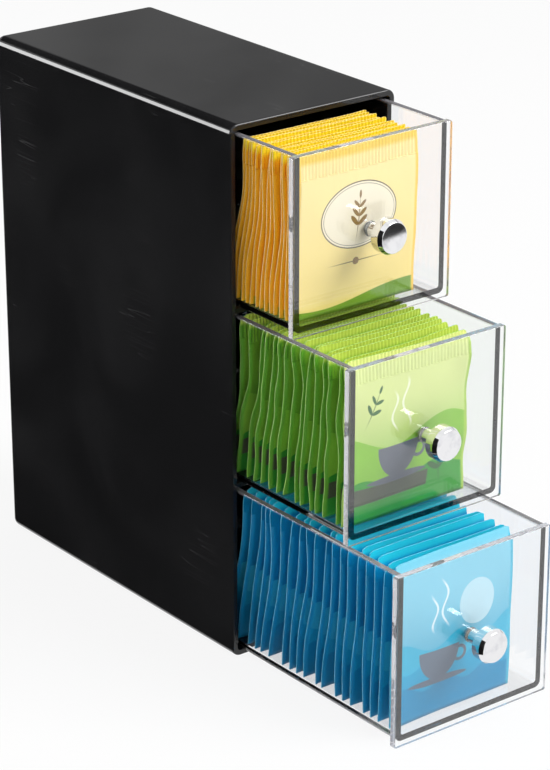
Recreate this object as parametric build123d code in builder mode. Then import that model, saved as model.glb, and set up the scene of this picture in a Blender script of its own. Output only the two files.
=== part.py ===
from build123d import *
import os
from collections import namedtuple
from math import radians, sin

# Tea bag drawer box. A black moulded housing, open at the front, holds three clear drawers, one
# above the other. Each drawer is a tray with a bonded front panel and a round chrome knob, and
# holds a row of tea sachets that stand on edge. The drawers are drawn out by different amounts.
# All sizes are in millimetres. The origin is the centre of the housing's base: +X is to the
# right of someone facing the drawers, -Y is towards that person, and +Z is up.

# Housing
housing_width = 92.0
housing_depth = 184.0
housing_height = 254.0
housing_wall = 2.8
housing_edge_radius = 4.5
housing_inner_radius = 1.7
front_rim_radius = 0.8
mouth_edge_radius = 0.25

# Shelves, which slide into grooves in the housing's walls and divide it into bays
bay_count = 3
shelf_thickness = 2.0
shelf_groove_depth = 1.0
shelf_play = 0.1
shelf_front_setback = 0.6

# Trays
tray_wall = 2.8
tray_floor = 2.8
tray_edge_radius = 3.0
tray_inner_radius = 1.2
tray_rim_radius = 0.4
tray_side_clearance = 1.0
tray_rear_clearance = 3.2
tray_running_gap = 0.3
tray_top_clearance = 1.65

# Front panels, each bonded to its tray's front edges by a thin line of clear adhesive
panel_thickness = 3.0
panel_overhang = 2.0
panel_corner_radius = 1.2
panel_edge_radius = 0.5
panel_bond_gap = 0.1

# Knobs, each held by a pan head screw put in from inside the tray
screw_diameter = 3.0
screw_head_diameter = 5.5
screw_head_height = 1.8
screw_head_radius = 0.7
screw_drive_width = 1.5
screw_drive_depth = 0.9
screw_reach_in_knob = 7.0
screw_thread_fit = 0.1
screw_hole_clearance = 0.4
washer_diameter = 7.0
washer_thickness = 0.5
knob_head_diameter = 16.0
knob_head_length = 4.5
knob_bevel_length = 2.0
knob_bevel_width = 1.0
knob_taper_length = 2.0
knob_neck_length = 5.5
knob_neck_wall = 2.0
knob_edge_radius = 0.4
knob_hole_spare_depth = 1.0

# Tea sachets: flat sealed envelopes, filled in the middle and thin at the seams
sachet_seam_thickness = 0.6
sachet_side_margin = 7.0
sachet_top_margin = 17.0
sachet_bottom_margin = 9.0
sachet_wall_gap = 0.8
sachet_foot_gap = 0.2
sachet_gap = 0.35
sachet_screw_gap = 0.4
finger_gap = 11.0
front_lean = 0.5
rear_lean = 9.0

# How far each drawer is drawn out
bottom_opening = 109.0
middle_opening = 76.0
top_opening = 38.0

# How far each drawer's sachets stay below the shelf above, and how closely they stand
bottom_head_gap = 0.65
middle_head_gap = 1.8
top_head_gap = 4.0
bottom_sachet_pitch = 6.4
middle_sachet_pitch = 5.85
top_sachet_pitch = 3.45

Drawer = namedtuple("Drawer", "name bay opening head_gap sachet_pitch sachet_count")
drawers = (
    Drawer("bottom", 0, bottom_opening, bottom_head_gap, bottom_sachet_pitch, 19),
    Drawer("middle", 1, middle_opening, middle_head_gap, middle_sachet_pitch, 15),
    Drawer("top", 2, top_opening, top_head_gap, top_sachet_pitch, 14),
)

# Sizes worked out from those above
front_y = -housing_depth / 2
inner_width = housing_width - 2 * housing_wall
inner_height = housing_height - 2 * housing_wall
inner_back_y = housing_depth / 2 - housing_wall
bay_height = (inner_height - (bay_count - 1) * shelf_thickness) / bay_count
bay_pitch = bay_height + shelf_thickness
shelf_levels = [housing_wall + bay * bay_pitch - shelf_thickness for bay in range(1, bay_count)]

tray_width = inner_width - 2 * tray_side_clearance
tray_height = bay_height - tray_running_gap - tray_top_clearance
tray_length = housing_depth - housing_wall - tray_rear_clearance - panel_bond_gap
tray_inner_width = tray_width - 2 * tray_wall

panel_width = tray_width + 2 * panel_overhang
panel_height = tray_height + panel_overhang

knob_neck_diameter = screw_diameter + 2 * knob_neck_wall
knob_face_diameter = knob_head_diameter - 2 * knob_bevel_width
knob_length = knob_neck_length + knob_taper_length + knob_head_length + knob_bevel_length
knob_hole_depth = screw_reach_in_knob + knob_hole_spare_depth
screw_shank_length = washer_thickness + panel_thickness + screw_reach_in_knob

sachet_width = tray_inner_width - sachet_wall_gap - finger_gap
sachet_left_x = -tray_inner_width / 2 + sachet_wall_gap


def tray_bottom(drawer):
    """Height of the underside of a drawer's tray."""
    return housing_wall + drawer.bay * bay_pitch + tray_running_gap


def panel_back(drawer):
    """Where the back face of a drawer's panel stands. It meets the housing's rim when shut."""
    return front_y - drawer.opening


def knob_level(drawer):
    """Height of the middle of a drawer's panel, where its knob is."""
    return tray_bottom(drawer) - panel_overhang + panel_height / 2


def knob_plane(drawer, back_offset):
    """A level plane through the knob's axis, starting so far behind the panel's front face."""
    y = panel_back(drawer) - panel_thickness + back_offset
    return Plane(origin=(0, y, knob_level(drawer)), x_dir=(1, 0, 0), z_dir=(0, 0, 1))


def knob_axis(drawer):
    return Axis((0, panel_back(drawer), knob_level(drawer)), (0, 1, 0))


def write_piece(piece, name):
    piece.label = name
    export_step(piece, f"parts/{name}.step")


def make_housing_shell():
    with BuildPart() as housing_shell:
        Box(housing_width, housing_depth, housing_height, align=(Align.CENTER, Align.CENTER, Align.MIN))
        long_edges = housing_shell.edges().filter_by(Axis.Y)
        rear_edges = housing_shell.faces().sort_by(Axis.Y)[-1].edges()
        fillet(long_edges + rear_edges, housing_edge_radius)
        with BuildSketch(Plane.XZ.offset(-front_y)):
            with Locations((0, housing_height / 2)):
                RectangleRounded(inner_width, inner_height, housing_inner_radius)
        extrude(amount=-(inner_back_y - front_y), mode=Mode.SUBTRACT)
        fillet(housing_shell.faces().sort_by(Axis.Y)[0].outer_wire().edges(), front_rim_radius)
        fillet(housing_shell.faces().sort_by(Axis.Y)[0].inner_wires().edges(), mouth_edge_radius)
        # Grooves for the shelves run along both sides and the back
        groove_back_y = inner_back_y + shelf_groove_depth
        for level in shelf_levels:
            with BuildSketch(Plane.XY.offset(level)):
                with Locations((0, front_y)):
                    Rectangle(inner_width + 2 * shelf_groove_depth, groove_back_y - front_y,
                              align=(Align.CENTER, Align.MIN))
            extrude(amount=shelf_thickness + shelf_play, mode=Mode.SUBTRACT)
    return housing_shell.part


def make_shelf(level):
    shelf_front_y = front_y + shelf_front_setback
    shelf_back_y = inner_back_y + shelf_groove_depth - shelf_play
    with BuildPart() as shelf:
        with BuildSketch(Plane.XY.offset(level)):
            with Locations((0, shelf_front_y)):
                Rectangle(inner_width + 2 * (shelf_groove_depth - shelf_play),
                          shelf_back_y - shelf_front_y, align=(Align.CENTER, Align.MIN))
        extrude(amount=shelf_thickness)
    return shelf.part


def make_tray(drawer):
    """Floor, two sides and a rear wall. The front end is open, and the panel closes it."""
    low = tray_bottom(drawer)
    front = panel_back(drawer) + panel_bond_gap
    with BuildPart() as tray:
        with BuildSketch(Plane.XY.offset(low)):
            with Locations((0, front)):
                Rectangle(tray_width, tray_length, align=(Align.CENTER, Align.MIN))
        extrude(amount=tray_height)
        bottom_sides = tray.edges().filter_by(Axis.Y).group_by(Axis.Z)[0]
        rear_corners = tray.edges().filter_by(Axis.Z).group_by(Axis.Y)[-1]
        bottom_rear = tray.faces().sort_by(Axis.Y)[-1].edges().sort_by(Axis.Z)[0]
        fillet(bottom_sides + rear_corners + [bottom_rear], tray_edge_radius)
        with BuildSketch(Plane.XY.offset(low + tray_floor)):
            with Locations((0, front)):
                Rectangle(tray_inner_width, tray_length - tray_wall, align=(Align.CENTER, Align.MIN))
        extrude(amount=tray_height, mode=Mode.SUBTRACT)
        inner_floor = tray.faces().filter_by(Axis.Z).group_by(Axis.Z)[-2]
        floor_edges = inner_floor.edges().filter_by(lambda edge: edge.center().Y > front)
        inner_corners = tray.edges().filter_by(Axis.Z).filter_by(
            lambda edge: abs(edge.center().Y - (front + tray_length - tray_wall)) < tray_wall / 2)
        fillet(floor_edges + inner_corners, tray_inner_radius)
        rim_edges = tray.faces().sort_by(Axis.Z)[-1].edges().filter_by(
            lambda edge: edge.center().Y > front)
        fillet(rim_edges, tray_rim_radius)
    return tray.part


def make_panel(drawer):
    low = tray_bottom(drawer) - panel_overhang
    with BuildPart() as panel:
        with BuildSketch(Plane.XZ.offset(-panel_back(drawer))):
            with Locations((0, low + panel_height / 2)):
                RectangleRounded(panel_width, panel_height, panel_corner_radius)
        extrude(amount=panel_thickness)
        fillet(panel.faces().sort_by(Axis.Y)[0].edges(), panel_edge_radius)
        with BuildSketch(Plane.XZ.offset(-panel_back(drawer))):
            with Locations((0, knob_level(drawer))):
                Circle((screw_diameter + screw_hole_clearance) / 2)
        extrude(amount=panel_thickness, mode=Mode.SUBTRACT)
    return panel.part


def make_knob(drawer):
    """A thin neck, a short taper and a round head with a bevelled edge and a flat face."""
    taper_end = knob_neck_length + knob_taper_length
    outline = [
        (0, 0),
        (knob_neck_diameter / 2, 0),
        (knob_neck_diameter / 2, -knob_neck_length),
        (knob_head_diameter / 2, -taper_end),
        (knob_head_diameter / 2, -taper_end - knob_head_length),
        (knob_face_diameter / 2, -knob_length),
        (0, -knob_length),
    ]
    with BuildPart() as knob:
        with BuildSketch(knob_plane(drawer, 0)):
            with BuildLine():
                Polyline(outline, close=True)
            make_face()
        revolve(axis=knob_axis(drawer))
        fillet(knob.edges().filter_by(GeomType.CIRCLE).sort_by(Axis.Y)[:3], knob_edge_radius)
        with BuildSketch(knob_plane(drawer, 0)):
            Rectangle((screw_diameter + screw_thread_fit) / 2, knob_hole_depth,
                      align=(Align.MIN, Align.MAX))
        revolve(axis=knob_axis(drawer), mode=Mode.SUBTRACT)
    return knob.part


def make_screw(drawer):
    """Pan head screw with a square drive. Its shank passes the washer and the panel."""
    with BuildPart() as screw:
        with BuildSketch(knob_plane(drawer, panel_thickness + washer_thickness)):
            Rectangle(screw_head_diameter / 2, screw_head_height, align=(Align.MIN, Align.MIN))
            Rectangle(screw_diameter / 2, screw_shank_length, align=(Align.MIN, Align.MAX))
        revolve(axis=knob_axis(drawer))
        head_back = screw.faces().sort_by(Axis.Y)[-1]
        fillet(head_back.edges(), screw_head_radius)
        head_back_y = panel_back(drawer) + washer_thickness + screw_head_height
        with BuildSketch(Plane.XZ.offset(-head_back_y)):
            with Locations((0, knob_level(drawer))):
                Rectangle(screw_drive_width, screw_drive_width)
        extrude(amount=screw_drive_depth, mode=Mode.SUBTRACT)
    return screw.part


def make_washer(drawer):
    with BuildPart() as washer:
        with BuildSketch(Plane.XZ.offset(-panel_back(drawer))):
            with Locations((0, knob_level(drawer))):
                Circle(washer_diameter / 2)
                Circle((screw_diameter + screw_hole_clearance) / 2, mode=Mode.SUBTRACT)
        extrude(amount=-washer_thickness)
    return washer.part


def make_sachet(height, filled_thickness):
    """One envelope, upright, with its left lower corner at the origin."""
    filled_width = sachet_width - 2 * sachet_side_margin
    filled_height = height - sachet_top_margin - sachet_bottom_margin
    corner = (Align.MIN, Align.MIN)
    with BuildPart() as sachet:
        with BuildSketch(Plane.XZ):
            Rectangle(sachet_width, height, align=corner)
        extrude(amount=sachet_seam_thickness / 2, both=True)
        for side in (-1, 1):
            with BuildSketch(Plane.XZ.offset(side * sachet_seam_thickness / 2)):
                Rectangle(sachet_width, height, align=corner)
            with BuildSketch(Plane.XZ.offset(side * filled_thickness / 2)):
                with Locations((sachet_side_margin, sachet_bottom_margin)):
                    Rectangle(filled_width, filled_height, align=corner)
            loft()
    return sachet.part


def make_sachet_row(drawer):
    """Sachets that stand on the tray's floor and lean forward, those at the rear the most."""
    height = bay_height - tray_running_gap - tray_floor - sachet_foot_gap - drawer.head_gap
    lean_step = (rear_lean - front_lean) / (drawer.sachet_count - 1)
    filled_top = height - sachet_top_margin
    # Each sachet leans more than the one in front of it, which limits how full it can be
    pitch_at_filled_top = drawer.sachet_pitch - filled_top * sin(radians(lean_step))
    filled_thickness = pitch_at_filled_top - sachet_gap
    screw_end_y = panel_back(drawer) + washer_thickness + screw_head_height
    lean_forward = filled_top * sin(radians(front_lean))
    first_y = screw_end_y + sachet_screw_gap + filled_thickness / 2 + lean_forward
    foot_z = tray_bottom(drawer) + tray_floor + sachet_foot_gap
    places = [
        Location((sachet_left_x, first_y + number * drawer.sachet_pitch, foot_z),
                 (front_lean + number * lean_step, 0, 0))
        for number in range(drawer.sachet_count)
    ]
    sachet = make_sachet(height, filled_thickness)
    with BuildPart() as row:
        with Locations(*places):
            add(sachet)
    return row.part


os.makedirs("parts", exist_ok=True)
write_piece(make_housing_shell(), "housing_shell")
for shelf_name, shelf_level in zip(("shelf_lower", "shelf_upper"), shelf_levels):
    write_piece(make_shelf(shelf_level), shelf_name)
for drawer in drawers:
    write_piece(make_tray(drawer), f"tray_{drawer.name}")
    write_piece(make_panel(drawer), f"front_panel_{drawer.name}")
    write_piece(make_knob(drawer), f"knob_{drawer.name}")
    write_piece(make_screw(drawer), f"knob_screw_{drawer.name}")
    write_piece(make_washer(drawer), f"knob_washer_{drawer.name}")
    write_piece(make_sachet_row(drawer), f"tea_sachets_{drawer.name}")
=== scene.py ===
"""Looks of the tea bag drawer box: its finishes, its tea sachets, a studio and the camera.

Lengths are in metres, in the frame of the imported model: +X is to the right of someone facing the
drawers, -Y is towards that person and +Z is up. Sizes written in millimetres are multiplied by MM.
"""

import math

import bmesh
import bpy
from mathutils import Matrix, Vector, noise


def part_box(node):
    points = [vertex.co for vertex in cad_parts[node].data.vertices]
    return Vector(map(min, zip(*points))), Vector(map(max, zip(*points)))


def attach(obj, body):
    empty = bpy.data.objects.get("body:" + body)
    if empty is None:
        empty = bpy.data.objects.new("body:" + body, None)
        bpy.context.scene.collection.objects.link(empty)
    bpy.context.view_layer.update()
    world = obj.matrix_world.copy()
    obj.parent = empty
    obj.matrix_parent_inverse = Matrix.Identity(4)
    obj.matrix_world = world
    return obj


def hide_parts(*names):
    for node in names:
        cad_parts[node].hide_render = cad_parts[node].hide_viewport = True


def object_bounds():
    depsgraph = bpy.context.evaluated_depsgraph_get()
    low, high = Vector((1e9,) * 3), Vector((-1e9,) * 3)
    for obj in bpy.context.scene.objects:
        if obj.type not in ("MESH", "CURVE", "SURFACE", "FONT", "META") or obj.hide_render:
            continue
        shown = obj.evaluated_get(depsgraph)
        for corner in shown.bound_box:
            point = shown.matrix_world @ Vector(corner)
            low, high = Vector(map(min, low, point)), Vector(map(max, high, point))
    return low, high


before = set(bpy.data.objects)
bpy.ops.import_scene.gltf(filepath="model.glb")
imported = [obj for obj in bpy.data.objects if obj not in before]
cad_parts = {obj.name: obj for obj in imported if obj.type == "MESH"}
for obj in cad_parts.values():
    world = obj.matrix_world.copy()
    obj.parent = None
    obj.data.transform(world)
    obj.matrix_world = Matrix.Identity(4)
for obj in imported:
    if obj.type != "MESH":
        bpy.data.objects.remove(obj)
cad_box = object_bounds()

MM = 0.001
DRAWERS = ("bottom", "middle", "top")


# ---------------------------------------------------------------------------------------------
# Camera
# ---------------------------------------------------------------------------------------------

CAMERA_PLACE = (-0.7616, -1.0337, 0.6194)
CAMERA_YAW = math.radians(38.16)
CAMERA_PITCH = math.radians(22.27)
PHOTO_HEIGHT_PX = 770
FOCAL_LENGTH_PX = 2901
SENSOR_MM = 36.0


def make_camera():
    data = bpy.data.cameras.new("camera")
    data.sensor_width = SENSOR_MM
    data.lens = FOCAL_LENGTH_PX / PHOTO_HEIGHT_PX * SENSOR_MM
    data.clip_start = 0.05
    data.clip_end = 50.0
    camera = bpy.data.objects.new("camera", data)
    camera.location = CAMERA_PLACE
    camera.rotation_euler = (math.pi / 2 - CAMERA_PITCH, 0, -CAMERA_YAW)
    bpy.context.scene.collection.objects.link(camera)
    bpy.context.scene.camera = camera


# ---------------------------------------------------------------------------------------------
# Node trees
# ---------------------------------------------------------------------------------------------


def srgb(red, green, blue):
    """A colour as seen on screen, 0 to 255, as the linear colour that a shader takes."""
    def linear(value):
        value /= 255
        return value / 12.92 if value <= 0.04045 else ((value + 0.055) / 1.055) ** 2.4
    return (linear(red), linear(green), linear(blue), 1.0)


class Recipe:
    """Builds one node tree with short calls. A value is a number, a colour, a vector or an output."""

    def __init__(self, tree):
        self.tree = tree
        self.tree.nodes.clear()

    def node(self, kind, inputs=None, **settings):
        node = self.tree.nodes.new("ShaderNode" + kind)
        for name, value in settings.items():
            setattr(node, name, value)
        for name, value in (inputs or {}).items():
            self.feed(node.inputs[name], value)
        return node

    def feed(self, socket, value):
        if isinstance(value, bpy.types.NodeSocket):
            self.tree.links.new(value, socket)
        else:
            socket.default_value = value

    def maths(self, operation, *values):
        node = self.node("Math", operation=operation)
        for socket, value in zip(node.inputs, values):
            self.feed(socket, value)
        return node.outputs[0]

    def between(self, value, start, end, low=0.0, high=1.0):
        """Goes smoothly from low at start to high at end."""
        inputs = {"Value": value, "From Min": start, "From Max": end, "To Min": low, "To Max": high}
        return self.node("MapRange", inputs, interpolation_type="SMOOTHSTEP").outputs[0]

    def blend(self, share, first, second):
        """The first colour, or the second where share is 1."""
        node = self.node("Mix", data_type="RGBA")
        self.feed(node.inputs[0], share)
        self.feed(node.inputs[6], first)
        self.feed(node.inputs[7], second)
        return node.outputs[2]

    def noise(self, vector, scale, detail=2.0, roughness=0.5, distortion=0.0):
        inputs = {"Vector": vector, "Scale": scale, "Detail": detail, "Roughness": roughness,
                  "Distortion": distortion}
        return self.node("TexNoise", inputs).outputs[0]

    def stretch(self, vector, scale, turn=(0, 0, 0)):
        return self.node("Mapping", {"Vector": vector, "Rotation": turn, "Scale": scale}).outputs[0]

    def bump(self, height, strength, distance):
        inputs = {"Height": height, "Strength": strength, "Distance": distance}
        return self.node("Bump", inputs).outputs[0]

    def object_point(self):
        return self.node("TexCoord").outputs["Object"]

    def mix_shaders(self, share, first, second):
        inputs = {0: share, 1: first.outputs[0], 2: second.outputs[0]}
        return self.node("MixShader", inputs)

    def show(self, shader):
        """Makes this shader the surface."""
        outputs = [node for node in self.tree.nodes if node.type == "OUTPUT_MATERIAL"]
        output = outputs[0] if outputs else self.node("OutputMaterial")
        self.feed(output.inputs["Surface"], shader.outputs[0])


def new_material(name, kind=Recipe):
    """A material with one Principled shader, its recipe of this kind and that shader."""
    material = bpy.data.materials.new(name)
    material.use_nodes = True
    recipe = kind(material.node_tree)
    shader = recipe.node("BsdfPrincipled")
    recipe.show(shader)
    return material, recipe, shader


def dress(node_name, material):
    """Gives a CAD node its finish."""
    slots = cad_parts[node_name].data.materials
    slots.clear()
    slots.append(material)


# ---------------------------------------------------------------------------------------------
# Housing: black gloss plastic with a faint haze, dust and hairline scratches
# ---------------------------------------------------------------------------------------------


def hairlines(recipe, point, turn, scale, width):
    """Long thin lines, where a stretched noise crosses its middle value, in a few places only."""
    stretched = recipe.stretch(point, scale, (turn, turn, 0))
    wave = recipe.noise(stretched, 1.0, detail=1.0)
    offset = recipe.maths("ABSOLUTE", recipe.maths("SUBTRACT", wave, 0.5))
    line = recipe.between(offset, width, 0.0)
    place = recipe.between(recipe.noise(point, 22.0, detail=0.0), 0.60, 0.68)
    return recipe.maths("MULTIPLY", line, place)


def housing_plastic():
    material, recipe, shader = new_material("black_gloss_plastic")
    point = recipe.object_point()
    haze = recipe.between(recipe.noise(point, 11.0, detail=4.0, distortion=0.6), 0.35, 0.70)
    specks = recipe.node("TexVoronoi", {"Vector": point, "Scale": 95.0, "Randomness": 1.0})
    speck = recipe.between(specks.outputs["Distance"], 0.035, 0.02)
    chosen = recipe.between(recipe.noise(specks.outputs["Position"], 3.0), 0.56, 0.60)
    dust = recipe.maths("MULTIPLY", speck, chosen)
    scratch = hairlines(recipe, point, 0.35, (300.0, 9.0, 300.0), 0.006)
    marks = recipe.maths("MAXIMUM", dust, recipe.maths("MULTIPLY", scratch, 0.22))
    plain = recipe.blend(haze, srgb(23, 23, 24), srgb(33, 33, 34))
    recipe.feed(shader.inputs["Base Color"], recipe.blend(marks, plain, srgb(120, 120, 120)))
    gloss = recipe.maths("MULTIPLY_ADD", haze, 0.08, 0.07)
    recipe.feed(shader.inputs["Roughness"], recipe.maths("MULTIPLY_ADD", marks, 0.3, gloss))
    shader.inputs["IOR"].default_value = 1.49
    ripple = recipe.noise(point, 30.0, detail=1.0)
    recipe.feed(shader.inputs["Normal"], recipe.bump(ripple, 0.08, 0.4 * MM))
    return material


def shelf_plastic():
    material, recipe, shader = new_material("black_satin_plastic")
    point = recipe.object_point()
    rub = recipe.noise(recipe.stretch(point, (60.0, 4.0, 60.0)), 1.0, detail=3.0)
    recipe.feed(shader.inputs["Base Color"], recipe.blend(rub, srgb(15, 15, 16), srgb(32, 32, 33)))
    recipe.feed(shader.inputs["Roughness"], recipe.between(rub, 0.2, 0.8, 0.2, 0.38))
    shader.inputs["IOR"].default_value = 1.49
    return material


# ---------------------------------------------------------------------------------------------
# Clear plastic of the trays and panels
# ---------------------------------------------------------------------------------------------


def sawn_edges(recipe):
    """1 on the narrow faces round a panel, which face up, down or aside."""
    normal = recipe.node("NewGeometry").outputs["True Normal"]
    ahead = recipe.node("SeparateXYZ", {0: normal}).outputs[1]
    return recipe.between(recipe.maths("ABSOLUTE", ahead), 0.7, 0.3)


def top_rim(recipe):
    """1 on the rim of a tray, the topmost hundredth of its height."""
    height = recipe.node("SeparateXYZ", {0: recipe.node("TexCoord").outputs["Generated"]}).outputs[2]
    return recipe.between(height, 0.985, 0.995)


def clear_plastic(name, frosted_part, frost):
    """Clear plastic, less clear on one part of it, a share named frost of which is a matt film.

    Light from the lamps and from what it holds goes straight through."""
    material, recipe, shader = new_material(name)
    point = recipe.object_point()
    smear = recipe.between(recipe.noise(point, 24.0, detail=3.0, distortion=0.8), 0.55, 0.80)
    shader.inputs["Base Color"].default_value = (0.985, 0.99, 0.995, 1)
    recipe.feed(shader.inputs["Roughness"], recipe.maths("MULTIPLY", smear, 0.03))
    shader.inputs["IOR"].default_value = 1.49
    shader.inputs["Transmission Weight"].default_value = 1.0
    grain = recipe.between(recipe.noise(point, 300.0, detail=1.0), 0.3, 0.7, 0.8 * frost, frost)
    film = recipe.maths("MULTIPLY", frosted_part(recipe), grain)
    body = recipe.mix_shaders(film, shader, recipe.node("BsdfDiffuse", {"Color": srgb(200, 198, 204)}))
    path = recipe.node("LightPath").outputs
    straight = recipe.maths("MAXIMUM", path["Is Shadow Ray"], path["Is Diffuse Ray"])
    through = recipe.node("BsdfTransparent", {"Color": (0.93, 0.935, 0.945, 1)})
    recipe.show(recipe.mix_shaders(straight, body, through))
    return material


# ---------------------------------------------------------------------------------------------
# Knobs, screws and washers
# ---------------------------------------------------------------------------------------------


def knob_chrome():
    material, recipe, shader = new_material("polished_chrome")
    point = recipe.object_point()
    film = recipe.between(recipe.noise(point, 180.0, detail=3.0), 0.45, 0.75)
    recipe.feed(shader.inputs["Base Color"],
                recipe.blend(film, srgb(236, 236, 238), srgb(222, 222, 226)))
    shader.inputs["Metallic"].default_value = 1.0
    recipe.feed(shader.inputs["Roughness"], recipe.maths("MULTIPLY_ADD", film, 0.03, 0.03))
    return material


def screw_steel():
    material, recipe, shader = new_material("turned_steel")
    point = recipe.object_point()
    turned = recipe.noise(recipe.stretch(point, (900.0, 2500.0, 900.0)), 1.0, detail=2.0)
    recipe.feed(shader.inputs["Base Color"],
                recipe.blend(turned, srgb(176, 178, 182), srgb(205, 206, 210)))
    shader.inputs["Metallic"].default_value = 1.0
    recipe.feed(shader.inputs["Roughness"], recipe.between(turned, 0.2, 0.8, 0.22, 0.36))
    recipe.feed(shader.inputs["Normal"], recipe.bump(turned, 0.2, 0.05 * MM))
    return material


def washer_nylon():
    material, recipe, shader = new_material("natural_nylon")
    point = recipe.object_point()
    cloud = recipe.noise(point, 500.0, detail=2.0)
    recipe.feed(shader.inputs["Base Color"],
                recipe.blend(cloud, srgb(226, 225, 219), srgb(240, 239, 234)))
    recipe.feed(shader.inputs["Roughness"], recipe.between(cloud, 0.2, 0.8, 0.15, 0.25))
    shader.inputs["IOR"].default_value = 1.5
    shader.inputs["Transmission Weight"].default_value = 0.85
    return material


# ---------------------------------------------------------------------------------------------
# Tea sachets: prints
# ---------------------------------------------------------------------------------------------

SACHET_WIDTH = 67.0  # mm, the print's own units
PRINT_HEIGHT = 77.0


class Print(Recipe):
    """Shapes printed on a sachet's face. A place is in millimetres from its lower left corner."""

    def __init__(self, tree):
        super().__init__(tree)
        uv = self.node("UVMap").outputs[0]
        self.point = self.node("VectorMath", {0: uv, 1: (SACHET_WIDTH, PRINT_HEIGHT, 0)},
                               operation="MULTIPLY").outputs[0]
        split = self.node("SeparateXYZ", {0: self.point})
        self.x, self.y = split.outputs[0], split.outputs[1]

    def oval(self, x, y, width, height, turn=0.0, soft=0.12):
        """A filled ellipse, its size from edge to edge."""
        placed = self.node("Mapping", {
            "Vector": self.point, "Location": (x, y, 0), "Rotation": (0, 0, math.radians(turn)),
            "Scale": (width / 2, height / 2, 1)}, vector_type="TEXTURE").outputs[0]
        radius = self.node("VectorMath", {0: placed}, operation="LENGTH").outputs["Value"]
        edge = soft / (min(width, height) / 2)
        return self.between(radius, 1 + edge, 1 - edge)

    def ring(self, x, y, width, height, line, turn=0.0):
        inner = self.oval(x, y, width - 2 * line, height - 2 * line, turn)
        return self.maths("SUBTRACT", self.oval(x, y, width, height, turn), inner)

    def above(self, level, soft=0.12):
        """Where y is over a level, which may be an output that changes with x."""
        offset = self.maths("SUBTRACT", self.y, level)
        return self.between(offset, -soft, soft)

    def below(self, level):
        return self.maths("SUBTRACT", 1.0, self.above(level))

    def wave(self, level, height, length, shift=0.0):
        """A level that rises and falls along x."""
        phase = self.maths("MULTIPLY_ADD", self.x, 2 * math.pi / length, shift)
        return self.maths("MULTIPLY_ADD", self.maths("SINE", phase), height, level)

    def swirl(self, x, low, high, sway, length, line):
        """An upright line that sways from side to side, as steam does, thinner at its ends."""
        phase = self.maths("MULTIPLY", self.y, 2 * math.pi / length)
        middle = self.maths("MULTIPLY_ADD", self.maths("SINE", phase), sway, x)
        offset = self.maths("ABSOLUTE", self.maths("SUBTRACT", self.x, middle))
        span = self.maths("MULTIPLY", self.between(self.y, low, low + 5),
                          self.between(self.y, high, high - 5))
        return self.maths("MULTIPLY", self.between(offset, line, line * 0.6), span)

    def both(self, first, second):
        return self.maths("MULTIPLY", first, second)

    def either(self, *shapes):
        whole = shapes[0]
        for shape in shapes[1:]:
            whole = self.maths("MAXIMUM", whole, shape)
        return whole

    def without(self, shape, hole):
        return self.maths("MULTIPLY", shape, self.maths("SUBTRACT", 1.0, hole))

    def cup(self, x, y, width):
        """A cup in profile on its saucer, with x and y at the middle of its rim."""
        bowl = self.without(self.oval(x, y, width, width * 1.35), self.above(y))
        handle = self.ring(x + width * 0.52, y - width * 0.24, width * 0.36, width * 0.36, width * 0.07)
        saucer = self.oval(x, y - width * 0.70, width * 1.45, width * 0.16)
        return self.either(bowl, handle, saucer)

    def sprig(self, x, y, turn, size, pairs=3):
        """A stem with pairs of leaves and a leaf at its tip."""
        ahead = Vector((-math.sin(turn), math.cos(turn)))
        aside = Vector((ahead.y, -ahead.x))
        start = Vector((x, y))
        middle = start + ahead * size / 2
        shapes = [self.oval(*middle, size * 0.025, size, math.degrees(turn))]
        for pair in range(pairs + 1):
            root = start + ahead * size * (0.3 + 0.7 * pair / pairs)
            leaf = size * (0.36 - 0.05 * pair)
            spreads = (0.0,) if pair == pairs else (-0.8, 0.8)
            for spread in spreads:
                way = ahead * math.cos(spread) + aside * math.sin(spread)
                heading = math.degrees(math.atan2(-way.x, way.y))
                shapes.append(self.oval(*(root + way * leaf / 2), leaf * 0.34, leaf, heading))
        return self.either(*shapes)


def gold_print(p, paper):
    """A cream medallion with a leaf sprig, a fine rule and a green wave at the foot."""
    x, y = 33.5, 43.0
    paper = p.blend(p.below(p.wave(5.0, 2.4, 90.0, 3.6)), paper, srgb(112, 158, 44))
    paper = p.blend(p.oval(x, y, 42, 30), paper, srgb(248, 238, 212))
    lines = p.either(p.ring(x, y, 42, 30, 0.5), p.ring(x, y, 39.4, 27.4, 0.22))
    paper = p.blend(lines, paper, srgb(92, 74, 44))
    leaves = p.either(p.sprig(x - 1.5, y - 9.5, -0.12, 17.0), p.oval(x - 1.2, 22.0, 3.4, 3.4),
                      p.oval(x - 1.2, 22.0, 25, 0.5))
    return p.blend(leaves, paper, srgb(140, 108, 52))


def green_print(p, paper):
    """Soft hills, and a slate cup with steam that stands on a low table."""
    paper = p.blend(p.below(p.wave(38.0, 4.5, 58.0, 2.2)), paper, srgb(138, 196, 62))
    paper = p.blend(p.below(p.wave(17.0, 3.2, 41.0, 0.4)), paper, srgb(48, 158, 50))
    steam = p.either(p.swirl(24.0, 39.0, 60.0, 1.8, 17.0, 0.7),
                     p.swirl(30.5, 40.0, 65.0, 2.0, 19.0, 0.7))
    paper = p.blend(steam, paper, srgb(240, 246, 214))
    leaves = p.either(p.sprig(52.5, 8.0, 0.18, 23.0), p.sprig(9.5, 47.0, -0.5, 14.0, pairs=2))
    paper = p.blend(leaves, paper, srgb(52, 104, 58))
    table = p.both(p.below(16.5), p.both(p.above(8.5), p.between(p.x, 45.0, 44.8)))
    paper = p.blend(table, paper, srgb(84, 88, 74))
    return p.blend(p.cup(26.5, 34.0, 23.0), paper, srgb(104, 108, 122))


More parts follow.
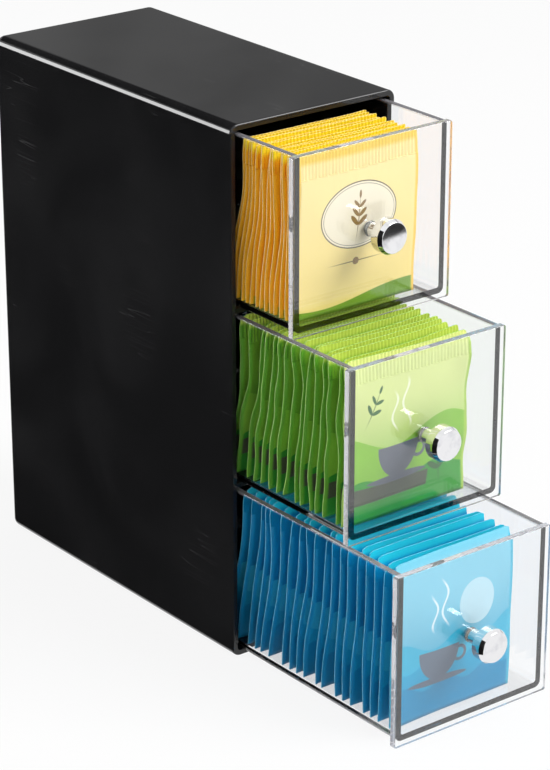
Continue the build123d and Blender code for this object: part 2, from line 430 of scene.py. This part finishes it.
def blue_print(p, paper):
    """Rolling waves, a pale disc and a slate cup."""
    paper = p.blend(p.oval(45.0, 49.0, 21, 21), paper, srgb(190, 226, 238))
    paper = p.blend(p.below(p.wave(36.0, 3.0, 33.0, 1.0)), paper, srgb(50, 182, 216))
    paper = p.blend(p.below(p.wave(26.0, 2.6, 27.0, 3.0)), paper, srgb(10, 164, 206))
    paper = p.blend(p.below(p.wave(15.0, 2.2, 23.0, 0.0)), paper, srgb(0, 142, 190))
    steam = p.either(p.swirl(20.5, 40.0, 60.0, 1.6, 16.0, 0.7),
                     p.swirl(26.5, 41.0, 66.0, 1.9, 18.0, 0.7))
    paper = p.blend(steam, paper, srgb(226, 242, 248))
    return p.blend(p.cup(24.0, 32.0, 22.0), paper, srgb(104, 114, 130))


def sachet_paper(name, colours, margin, strip_level, ink):
    """Gloss paper with plain side margins and a plain top strip round the print that ink adds."""
    material, p, shader = new_material(name, Print)
    from_side = p.maths("MINIMUM", p.x, p.maths("SUBTRACT", SACHET_WIDTH, p.x))
    face = p.blend(p.between(p.y, 4.0, 62.0), colours["foot"], colours["top"])
    # The side margin: printed colour on the front sachet, painted shade on the darker papers of the
    # sachets behind it
    paper = p.blend(p.between(from_side, margin * 0.4, margin), colours["side"], ink(p, face))
    paper = p.blend(p.between(p.y, strip_level, strip_level + 3.0), paper, colours["strip"])
    grain = p.noise(p.point, 2.2, detail=3.0)
    paper = p.blend(p.between(grain, 0.35, 0.75, 0.0, 0.06), paper, colours["strip"])
    p.feed(shader.inputs["Base Color"], paper)
    p.feed(shader.inputs["Roughness"], p.between(grain, 0.3, 0.7, 0.34, 0.46))
    shader.inputs["Specular IOR Level"].default_value = 0.25
    crease = p.noise(p.stretch(p.point, (0.12, 0.05, 1.0)), 1.0, detail=3.0, distortion=1.0)
    p.feed(shader.inputs["Normal"], p.bump(crease, 0.35, 0.5 * MM))
    return material


def cut_edge_paper(name, colour):
    """The sachet's cut edge, lighter than its paper: partly the paper's pale core, partly painted light
    that shows through the paper.
    """
    material, recipe, shader = new_material(name)
    fibre = recipe.noise(recipe.object_point(), 900.0, detail=2.0)
    recipe.feed(shader.inputs["Base Color"],
                recipe.blend(recipe.between(fibre, 0.3, 0.8, 0.0, 0.25), colour, srgb(250, 250, 246)))
    shader.inputs["Roughness"].default_value = 0.6
    return material


# ---------------------------------------------------------------------------------------------
# Tea sachets: shape
# ---------------------------------------------------------------------------------------------

BODY_COLUMNS = 24
BODY_ROWS = 34
SEAM_THICKNESS = 0.45 * MM
SIDE_SEAM = 5.0 * MM
BOTTOM_SEAM = 6.0 * MM
TOP_STRIP = 11.0 * MM
STRIP_ROW_SHARES = (0.06, 0.5, 1.0)

# How full the envelopes of each drawer are, how crimped their top strips, and how unevenly they
# stand. salt gives a drawer random draws of its own. fill is an envelope's swelling, rib_height the
# height of a crimp and corner the radius of a top corner. ribs is how many columns of the top strip
# stand over one of the body, waves sets how often a side edge turns, and yaw is a slope. The other
# lengths set how far a sachet strays from its place and from a flat shape.
STYLES = {
    "top": dict(salt=1, fill=1.9 * MM, ribs=3, rib_height=0.42 * MM, corner=1.0 * MM, waves=3.0,
                curve=2.4 * MM, drift=1.0 * MM, ripple=1.2 * MM, curl=0.7 * MM, bow=0.7 * MM,
                offset=0.25 * MM, kick=0.9 * MM, sideways=1.0 * MM, lift=2.4 * MM, yaw=0.010),
    "middle": dict(salt=2, fill=3.2 * MM, ribs=3, rib_height=0.34 * MM, corner=2.6 * MM, waves=4.0,
                   curve=2.4 * MM, drift=1.4 * MM, ripple=2.4 * MM, curl=1.2 * MM, bow=1.2 * MM,
                   offset=0.50 * MM, kick=1.7 * MM, sideways=2.6 * MM, lift=0.6 * MM, yaw=0.020),
    "bottom": dict(salt=3, fill=3.4 * MM, ribs=1, rib_height=0.0, corner=2.6 * MM, waves=2.2,
                   curve=2.6 * MM, drift=1.4 * MM, ripple=1.5 * MM, curl=1.1 * MM, bow=0.5 * MM,
                   offset=0.60 * MM, kick=2.0 * MM, sideways=1.6 * MM, lift=0.0, yaw=0.018),
}


def sachet_places(node_name):
    """Where each CAD sachet stands: the middles of its foot and top edges, the front one first."""
    shape = bmesh.new()
    shape.from_mesh(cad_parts[node_name].data)
    bmesh.ops.remove_doubles(shape, verts=shape.verts, dist=0.01 * MM)
    left = set(shape.verts)
    places = []
    while left:
        group = [left.pop()]
        for vert in group:
            joined = {edge.other_vert(vert) for edge in vert.link_edges} & left
            left -= joined
            group += joined
        places.append(foot_and_top([vert.co.copy() for vert in group]))
    shape.free()
    return sorted(places, key=lambda place: place[0].y)


def foot_and_top(points):
    """The middle of the lowest and of the highest edge of one CAD sachet."""
    middles = []
    for level in (min(p.z for p in points), max(p.z for p in points)):
        edge = [p for p in points if abs(p.z - level) < 0.4 * MM]
        middles.append(sum(edge, Vector()) / len(edge))
    return middles


def swell(distance, reach):
    """0 at an edge, rising to 1 at this reach from it, where it is level."""
    share = min(max(distance / reach, 0.0), 1.0)
    return math.sin(share * math.pi / 2) ** 1.4


def fill_between(shape, low, high):
    """Faces between two rows of points. The upper row may have several to each of the lower."""
    step = (len(high) - 1) // (len(low) - 1)
    faces = []
    for column in range(len(low) - 1):
        upper = high[column * step:(column + 1) * step + 1]
        faces.append(shape.faces.new((low[column], low[column + 1], *reversed(upper))))
    return faces


def edge_points(rows):
    """The points once round the edge of a sheet, from its lower left corner."""
    right = [row[-1] for row in rows[1:-1]]
    left = [row[0] for row in rows[-2:0:-1]]
    return rows[0] + right + rows[-1][::-1] + left


class Sachet:
    """One envelope, from the foot and top of its CAD solid. x is across its face and z is up it."""

    def __init__(self, foot, top, number, count, style):
        self.style = style
        self.number = number
        self.depth_share = number / (count - 1)
        self.up = (top - foot).normalized()
        self.across = Vector((1, 0, 0))
        self.ahead = self.up.cross(self.across)
        self.width = SACHET_WIDTH * MM
        self.height = (top - foot).length + abs(self.random(6)) * self.depth_share * style["lift"]
        self.corner = foot - self.across * self.width / 2

    def random(self, salt):
        """A steady value from -1 to 1 for this sachet."""
        place = Vector((self.number * 7.31 + 0.5, salt * 3.77, self.style["salt"] * 11.3))
        return min(max(noise.noise(place) * 1.8, -1.0), 1.0)

    def half_thickness(self, x, z):
        side = min(x, self.width - x) - SIDE_SEAM
        below = z - BOTTOM_SEAM
        above = self.height - TOP_STRIP - z
        fill = swell(side, 17 * MM) * swell(below, 15 * MM) * swell(above, 26 * MM)
        lumps = 1 + 0.28 * noise.noise(Vector((x * 60, z * 60, self.number * 2.7)))
        return SEAM_THICKNESS / 2 + fill * lumps * self.style["fill"] / 2

    def sway(self, x, z):
        """How far the paper's middle lies ahead of the straight line from foot to top."""
        style = self.style
        u, v = x / self.width, z / self.height
        curve = style["curve"] * (0.35 + 0.65 * self.depth_share)
        curve *= math.sin(math.pi * v) * math.cos(math.pi * v * 1.1 + 0.4)
        drift_place = Vector((u * 1.4, v * 1.6, self.number * 0.21 + style["salt"]))
        drift = style["drift"] * noise.noise(drift_place)
        near_side = max(0.0, 1 - min(u, 1 - u) / 0.14)
        wave_place = Vector((v * style["waves"], self.number * 0.9, style["salt"] + 4.0))
        ripple = style["ripple"] * noise.noise(wave_place)
        foot_kick = style["kick"] * self.random(9) * (1 - v) ** 3
        top_kick = style["kick"] * self.random(10) * max(0.0, v - 0.5) ** 2 * 4
        curl = style["curl"] * self.random(3) * max(0.0, v - 0.70) / 0.30 * (2 * u - 1)
        turn = style["yaw"] * self.random(7) * (x - self.width / 2)
        steady = style["offset"] * self.random(8)
        return curve + drift + ripple * near_side + foot_kick + top_kick + curl + turn + steady

    def point(self, x, z, side, rib):
        style = self.style
        top_bow = style["bow"] * self.random(5) * z / self.height * math.sin(math.pi * x / self.width)
        aside = style["sideways"] * (0.2 + 0.8 * self.depth_share) * (0.5 + 0.5 * self.random(1))
        aside += 0.014 * self.random(2) * z
        ahead = self.sway(x, z) + side * self.half_thickness(x, z) + rib
        return self.corner + self.across * (x + aside) + self.up * (z + top_bow) + self.ahead * ahead

    def rounded(self, x, z):
        """The same place, or one nearer the middle where the top corners are rounded."""
        radius = self.style["corner"]
        from_side = min(x, self.width - x)
        from_top = self.height - z
        if from_side >= radius or from_top >= radius:
            return x, z
        away = Vector((radius - from_side, radius - from_top))
        away *= max(away) / max(away.length, 1e-9)
        inset = radius - away.x
        return (inset if x < self.width / 2 else self.width - inset), self.height - radius + away.y

    def sheet(self, shape, side, spots):
        """The rows of points of the front or back face. The top strip has finer, ribbed rows."""
        strip_low = self.height - TOP_STRIP
        fine = BODY_COLUMNS * self.style["ribs"]
        body = [(strip_low * row / BODY_ROWS, BODY_COLUMNS, 0.0) for row in range(BODY_ROWS + 1)]
        strip = [(strip_low + TOP_STRIP * share, fine, self.style["rib_height"] / 2)
                 for share in STRIP_ROW_SHARES]
        rows = []
        for level, columns, rib in body + strip:
            row = []
            for column in range(columns + 1):
                x, z = self.rounded(self.width * column / columns, level)
                vert = shape.verts.new(self.point(x, z, side, rib * (-1) ** column))
                spots[vert] = (x / self.width, z / (PRINT_HEIGHT * MM))
                row.append(vert)
            rows.append(row)
        return rows

    def build(self, shape, uv_layer):
        """Adds the front and back faces to the mesh, and the cut edge that joins them."""
        spots = {}
        sheets = [self.sheet(shape, side, spots) for side in (1, -1)]
        for side, rows in zip((1, -1), sheets):
            for number, (low, high) in enumerate(zip(rows, rows[1:])):
                for face in fill_between(shape, low, high):
                    face.smooth = number < BODY_ROWS
                    # The front sachet takes the front paper; those behind it take its darker copy,
                    # painted shade between the sachets
                    face.material_index = min(self.number, 1)
                    for loop in face.loops:
                        loop[uv_layer].uv = spots[loop.vert]
                    if side < 0:
                        face.normal_flip()
        front, back = (edge_points(rows) for rows in sheets)
        for index in range(len(front)):
            face = shape.faces.new((front[index], front[index - 1], back[index - 1], back[index]))
            face.material_index = 2


def make_sachet_row(drawer, materials):
    node_name = f"tea_sachets_{drawer}"
    places = sachet_places(node_name)
    shape = bmesh.new()
    uv_layer = shape.loops.layers.uv.new("print")
    for number, (foot, top) in enumerate(places):
        Sachet(foot, top, number, len(places), STYLES[drawer]).build(shape, uv_layer)
    mesh = bpy.data.meshes.new(f"sachets_{drawer}")
    shape.to_mesh(mesh)
    shape.free()
    for material in materials:
        mesh.materials.append(material)
    row = bpy.data.objects.new(f"sachets_{drawer}", mesh)
    bpy.context.scene.collection.objects.link(row)
    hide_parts(node_name)
    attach(row, f"drawer_{drawer}")


# ---------------------------------------------------------------------------------------------
# Studio: a white floor, a white surround and soft lamps
# ---------------------------------------------------------------------------------------------

FLOOR_SIZE = 12.0
FLOOR_DROP = 0.1 * MM
FLOOR_GLOW = 0.88  # share of plain white in the seen floor; the rest is lit and holds the shadow
WORLD_LIGHT = 0.45  # strength of the surround as light; it is seen at a strength of 1
CARD_LIFT = 0.2 * MM


def seen_white(recipe):
    """1 for rays that show the background: from the camera, in metal and through glass."""
    path = recipe.node("LightPath").outputs
    shiny = recipe.maths("MAXIMUM", path["Is Glossy Ray"], path["Is Transmission Ray"])
    return recipe.maths("MAXIMUM", path["Is Camera Ray"], shiny)


def make_floor():
    mesh = bpy.data.meshes.new("floor")
    half = FLOOR_SIZE / 2
    corners = [(-half, -half), (half, -half), (half, half), (-half, half)]
    mesh.from_pydata([(x, y, -FLOOR_DROP) for x, y in corners], [], [(0, 1, 2, 3)])
    floor = bpy.data.objects.new("floor", mesh)
    bpy.context.scene.collection.objects.link(floor)
    material, recipe, shader = new_material("white_floor")
    shader.inputs["Base Color"].default_value = (0.8, 0.8, 0.8, 1)
    shader.inputs["Roughness"].default_value = 0.9
    shader.inputs["Specular IOR Level"].default_value = 0.1
    glow = recipe.node("Emission", {"Color": (1, 1, 1, 1), "Strength": 1.0})
    share = recipe.maths("MULTIPLY", seen_white(recipe), FLOOR_GLOW)
    recipe.show(recipe.mix_shaders(share, shader, glow))
    mesh.materials.append(material)


def make_world():
    world = bpy.data.worlds.new("studio")
    bpy.context.scene.world = world
    world.use_nodes = True
    recipe = Recipe(world.node_tree)
    strength = recipe.maths("MULTIPLY_ADD", seen_white(recipe), 1 - WORLD_LIGHT, WORLD_LIGHT)
    background = recipe.node("Background", {"Color": (1, 1, 1, 1), "Strength": strength})
    output = recipe.node("OutputWorld")
    recipe.feed(output.inputs["Surface"], background.outputs[0])


def make_lamp(name, place, aim, width, height, power, in_gloss=True):
    """A soft rectangular lamp that only its light and its reflections show."""
    data = bpy.data.lights.new(name, "AREA")
    data.shape = "RECTANGLE"
    data.size = width
    data.size_y = height
    data.energy = power
    lamp = bpy.data.objects.new(name, data)
    lamp.location = place
    lamp.rotation_mode = "QUATERNION"
    lamp.rotation_quaternion = (Vector(aim) - Vector(place)).to_track_quat("-Z", "Y")
    lamp.visible_camera = False
    lamp.visible_transmission = False
    lamp.visible_glossy = in_gloss
    bpy.context.scene.collection.objects.link(lamp)


def make_lamps():
    middle = (0.0, -0.08, 0.12)
    make_lamp("key_lamp", (0.9, -1.3, 1.5), middle, 1.2, 1.2, 42.0)
    make_lamp("left_lamp", (-1.6, -0.8, 1.0), middle, 1.0, 1.0, 4.0, in_gloss=False)
    make_lamp("top_lamp", (0.0, -0.2, 1.8), middle, 1.4, 1.4, 4.0, in_gloss=False)
    make_lamp("rim_lamp", (-1.45, 1.80, 0.50), middle, 0.7, 0.9, 18.0)


def make_card(name, corners, strength, soft_edge=False):
    """A card that only reflections show, as a photographer sets round a glossy thing.

    The first of its edges may be soft."""
    mesh = bpy.data.meshes.new(name)
    mesh.from_pydata(corners, [], [(0, 1, 2, 3)])
    spots = mesh.uv_layers.new(name="card").data
    for loop, spot in zip(spots, ((0, 0), (1, 0), (1, 1), (0, 1))):
        loop.uv = spot
    card = bpy.data.objects.new(name, mesh)
    bpy.context.scene.collection.objects.link(card)
    card.visible_camera = False
    card.visible_diffuse = False
    card.visible_shadow = False
    material = bpy.data.materials.new(name)
    material.use_nodes = True
    recipe = Recipe(material.node_tree)
    cloud = recipe.between(recipe.noise(recipe.object_point(), 2.6, detail=2.0), 0.3, 0.7, 0.6, 1.3)
    glow = recipe.node("Emission", {"Strength": recipe.maths("MULTIPLY", cloud, strength)})
    seen = recipe.maths("GREATER_THAN", recipe.node("LightPath").outputs["Glossy Depth"], 0.5)
    if soft_edge:
        depth = recipe.node("SeparateXYZ", {0: recipe.node("UVMap").outputs[0]}).outputs[1]
        seen = recipe.maths("MULTIPLY", seen, recipe.between(depth, 0.0, 0.12))
    recipe.show(recipe.mix_shaders(seen, recipe.node("BsdfTransparent"), glow))
    mesh.materials.append(material)


def upright(start, end, low, high):
    """The corners of an upright card over a line on the floor."""
    return [(*start, low), (*end, low), (*end, high), (*start, high)]


def floor_seen_at(x, y, z):
    """The place on the floor that the camera sees mirrored in a face at this place, facing -Y."""
    eye = Vector(CAMERA_PLACE)
    beam = Vector((x, y, z)) - eye
    beam.y = -beam.y
    place = Vector((x, y, z)) - beam * (z / beam.z)
    return (place.x, place.y, CARD_LIFT)


def make_cards():
    """Dark cards on the left and overhead, a grey one behind, and one that the top knob reflects."""
    side = cad_box[0].x - 1 * MM
    corners = ((-4, -4), (side, -4), (side, 4), (-4, 4))
    make_card("left_floor_card", [(*corner, CARD_LIFT) for corner in corners], 0.01)
    make_card("left_card", upright((-4, -4), (-4, 2.6), 0.0, 3.5), 0.02)
    make_card("rear_high_card", upright((-4, 3.2), (4, 3.2), 2.0, 9.0), 0.03)
    make_card("rear_grey_card", upright((0.4, 3.2), (5.5, 3.2), 0.0, 2.0), 0.28)
    # The upper half of the top knob's face mirrors a small dark card on the floor
    low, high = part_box("knob_top")
    margin = 2 * MM
    slant = 1 * MM
    middle = (low.z + high.z) / 2
    places = ((low.x - margin, middle - slant), (high.x + margin, middle + slant),
              (high.x + margin, high.z + margin), (low.x - margin, high.z + margin))
    make_card("knob_card", [floor_seen_at(x, low.y, z) for x, z in places], 0.03, soft_edge=True)


# ---------------------------------------------------------------------------------------------
# The scene
# ---------------------------------------------------------------------------------------------


def dress_cad_nodes():
    dress("housing_shell", housing_plastic())
    shelf = shelf_plastic()
    for level in ("lower", "upper"):
        dress(f"shelf_{level}", shelf)
    finishes = {"tray": clear_plastic("clear_moulding", top_rim, 0.3),
                "front_panel": clear_plastic("clear_sheet", sawn_edges, 0.36),
                "knob": knob_chrome(), "knob_screw": screw_steel(), "knob_washer": washer_nylon()}
    for drawer in DRAWERS:
        for kind, finish in finishes.items():
            dress(f"{kind}_{drawer}", finish)


FRONT_PAPERS = {
    "top": dict(top=srgb(251, 230, 160), foot=srgb(254, 228, 142), side=srgb(249, 206, 80),
                strip=srgb(244, 207, 80)),
    "middle": dict(top=srgb(216, 228, 152), foot=srgb(130, 196, 60), side=srgb(170, 206, 84),
                   strip=srgb(214, 226, 130)),
    "bottom": dict(top=srgb(134, 204, 226), foot=srgb(0, 166, 206), side=srgb(60, 184, 214),
                   strip=srgb(120, 204, 228)),
}
# The sachets behind the front one show only their margins and the tops of their strips. Their papers
# are darker, deeper copies of the front papers, darker still towards the foot: painted shade between
# the sachets
SHADED_REAR_PAPERS = {
    "top": dict(top=srgb(255, 188, 22), foot=srgb(252, 174, 20), side=srgb(255, 186, 22),
                strip=srgb(248, 218, 40)),
    "middle": dict(top=srgb(126, 182, 50), foot=srgb(54, 138, 46), side=srgb(98, 170, 46),
                   strip=srgb(196, 218, 88)),
    "bottom": dict(top=srgb(0, 146, 200), foot=srgb(0, 112, 168), side=srgb(0, 144, 198),
                   strip=srgb(40, 204, 228)),
}
# Cut edges are lighter than their papers: partly the pale core, partly painted light that shows through
# the paper
CUT_EDGES = {"top": srgb(250, 214, 120), "middle": srgb(156, 208, 84), "bottom": srgb(64, 184, 222)}
STRIP_LEVELS = {"top": 69.0, "middle": 71.5, "bottom": 72.5}
INKS = {"top": gold_print, "middle": green_print, "bottom": blue_print}


def make_sachets():
    for drawer in DRAWERS:
        level, ink = STRIP_LEVELS[drawer], INKS[drawer]
        front = sachet_paper(f"front_paper_{drawer}", FRONT_PAPERS[drawer], 2.0, level, ink)
        # The sachets behind the front one take a darker copy of the paper, painted shade between the
        # sachets
        shaded_rear = sachet_paper(f"paper_{drawer}", SHADED_REAR_PAPERS[drawer], 3.0, level, ink)
        edge = cut_edge_paper(f"cut_edge_{drawer}", CUT_EDGES[drawer])
        make_sachet_row(drawer, (front, shaded_rear, edge))


bpy.context.scene.view_settings.view_transform = "Standard"
for kind in ("max_bounces", "glossy_bounces", "transmission_bounces", "transparent_max_bounces"):
    setattr(bpy.context.scene.cycles, kind, 32)
bpy.context.scene.cycles.caustics_reflective = False
make_camera()
dress_cad_nodes()
make_sachets()
make_floor()
make_world()
make_lamps()
make_cards()
